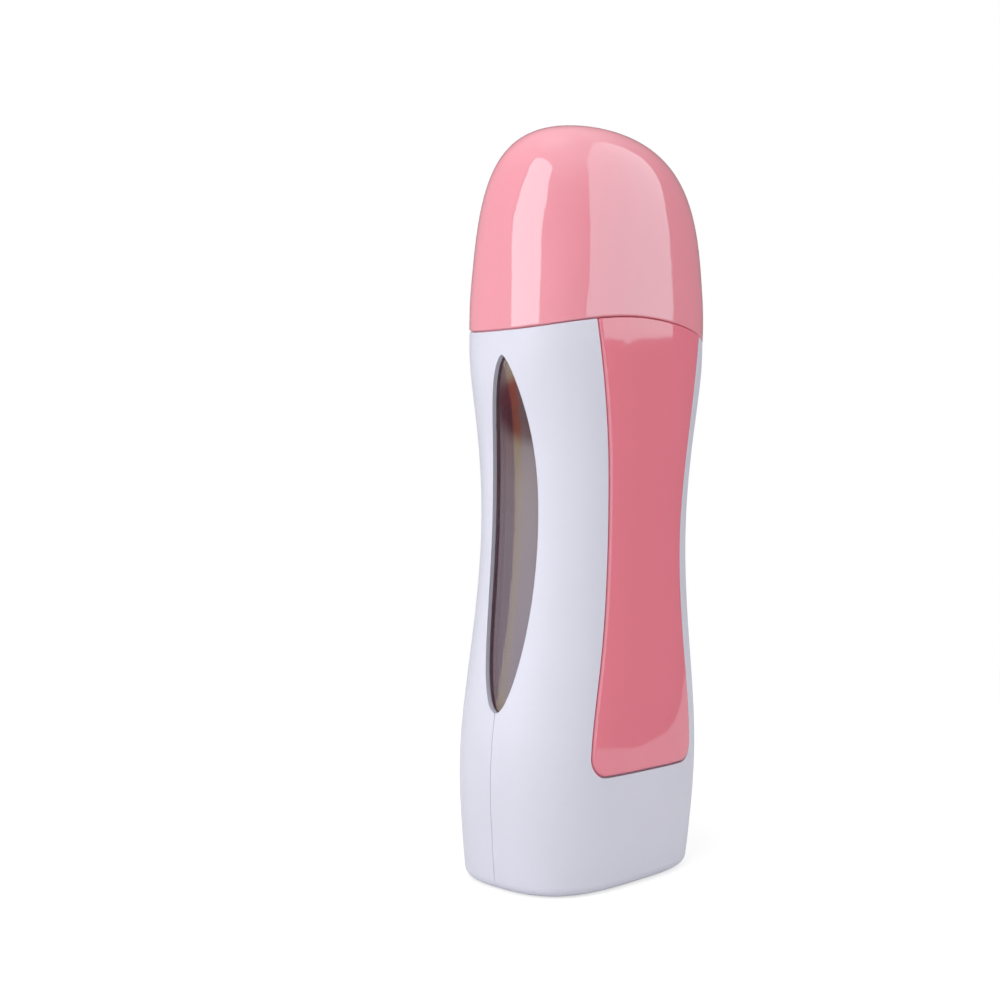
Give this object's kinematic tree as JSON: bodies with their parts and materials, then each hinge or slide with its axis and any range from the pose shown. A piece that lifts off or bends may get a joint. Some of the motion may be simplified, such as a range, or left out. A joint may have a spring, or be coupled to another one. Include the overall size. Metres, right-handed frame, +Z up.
{
  "type": "roll-on wax heater",
  "caption": "Hand-held roll-on wax heater: waisted two-tone casing with side windows, a lift-off domed cap over a roller cartridge, and a two-pin mains inlet.",
  "frame": {"origin": "on the standing plane, under the middle of the casing", "axes": "+Z up, X across the wide faces with the mains inlet at +X, -Y out of the front panel"},
  "size_m": [0.0752, 0.0484, 0.2094],
  "materials": {
    "casing_white": "glossy moulded ABS, white with a cool cast",
    "panel_pink": "glossy moulded plastic, salmon pink",
    "cap_pink": "glossy moulded plastic, salmon pink",
    "window_smoked": "smoke-tinted clear polycarbonate",
    "inlet_grey": "fine matt moulded plastic",
    "pin_metal": "bright nickel plate",
    "screw_steel": "zinc-plated steel",
    "foot_rubber": "matt rubber",
    "cradle_plastic": "heat-proof moulded plastic",
    "collar_white": "satin moulded plastic",
    "plate_aluminium": "rolled sheet",
    "heater_ceramic": "clad heating element",
    "amber_film": "polyimide film",
    "component_dark": "moulded component body",
    "fuse_metal": "plated metal case",
    "lamp_red": "red lamp body",
    "lens_red": "clear red moulded plastic",
    "board_green": "glass-fibre board with green lacquer",
    "capacitor_yellow": "boxed film capacitor",
    "wire_insulation": "silicone insulation",
    "bottle_clear": "clear cartridge plastic",
    "wax_amber": "honey-coloured wax",
    "head_white": "satin moulded plastic",
    "roller_white": "polished moulded plastic"
  },
  "bodies": {
    "casing": {"front_shell": "casing_white", "rear_shell": "casing_white", "front_panel": "panel_pink", "rear_panel": "panel_pink", "window_left": "window_smoked", "window_right": "window_smoked", "inlet_socket": "inlet_grey", "inlet_pins": "pin_metal", "shell_screws": "screw_steel", "base_feet": "foot_rubber", "cradle": "cradle_plastic", "chamber_collar": "collar_white", "heat_plate_front": "plate_aluminium", "heat_plate_rear": "plate_aluminium", "heater_front": "heater_ceramic", "heater_rear": "heater_ceramic", "insulation_front": "amber_film", "insulation_rear": "amber_film", "thermostat": "component_dark", "thermal_fuse": "fuse_metal", "indicator_lamp": "lamp_red", "lamp_lens": "lens_red", "circuit_board": "board_green", "board_screws": "screw_steel", "suppression_capacitor": "capacitor_yellow", "dropper_resistor": "component_dark", "terminal_block": "component_dark", "inlet_wires": "wire_insulation", "heater_wires": "wire_insulation", "lamp_wires": "wire_insulation"},
    "cartridge": {"cartridge_bottle": "bottle_clear", "wax_fill": "wax_amber", "roller_head": "head_white"},
    "roller": {"wax_roller": "roller_white"},
    "cap": {"cap": "cap_pink"}
  },
  "joints": [
    {"name": "cartridge_lift", "type": "slide", "parent": "casing", "child": "cartridge", "axis": [0, 0, 1], "range_m": [0, 0.12]},
    {"name": "cap_lift", "type": "slide", "parent": "cartridge", "child": "cap", "axis": [0, 0, 1], "range_m": [0, 0.075]},
    {"name": "roller_spin", "type": "hinge", "parent": "cartridge", "child": "roller", "pos_m": [0, 0, 0.1719], "axis": [1, 0, 0], "continuous": true}
  ]
}
